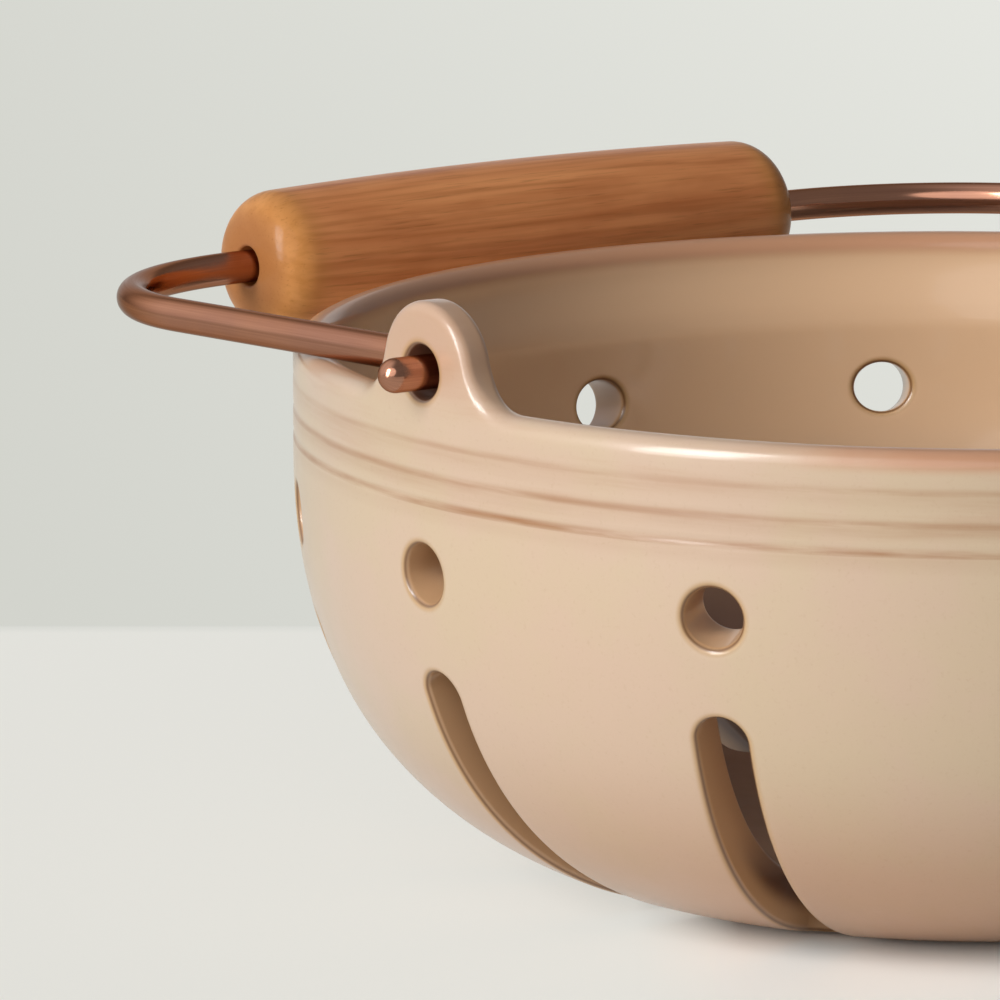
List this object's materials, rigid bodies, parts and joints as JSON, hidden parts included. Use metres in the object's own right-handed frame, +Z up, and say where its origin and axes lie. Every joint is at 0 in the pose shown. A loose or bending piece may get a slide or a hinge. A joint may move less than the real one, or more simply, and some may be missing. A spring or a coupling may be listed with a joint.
{
  "type": "ventilated fruit bowl",
  "caption": "Round glazed stoneware bowl with vents and slots that let air reach fruit, carried by a folding wire bail with a turned wooden grip.",
  "frame": {"origin": "centre of the bowl's flat base", "axes": "+Z up along the bowl's axis, +X along the bail's pivot through both lugs, +Y towards the side where the bail lies folded"},
  "size_m": [0.256, 0.2709, 0.113],
  "materials": {
    "glaze": "semi-gloss pinkish beige glaze that breaks to brown at edges",
    "copper_wire": "copper-plated steel wire, satin, drawn lengthwise",
    "grip_wood": "turned, stained and lacquered, satin"
  },
  "bodies": {
    "bowl": {"bowl": "glaze"},
    "bail": {"bail_wire": "copper_wire"},
    "grip": {"wood_grip": "grip_wood"}
  },
  "joints": [
    {"name": "bail_swing", "type": "hinge", "parent": "bowl", "child": "bail", "pos_m": [0, 0, 0.1008], "axis": [1, 0, 0], "range_deg": [0, 184]},
    {"name": "grip_spin", "type": "hinge", "parent": "bail", "child": "grip", "pos_m": [0, 0.13642, 0.09601], "axis": [1, 0, 0], "continuous": true}
  ]
}
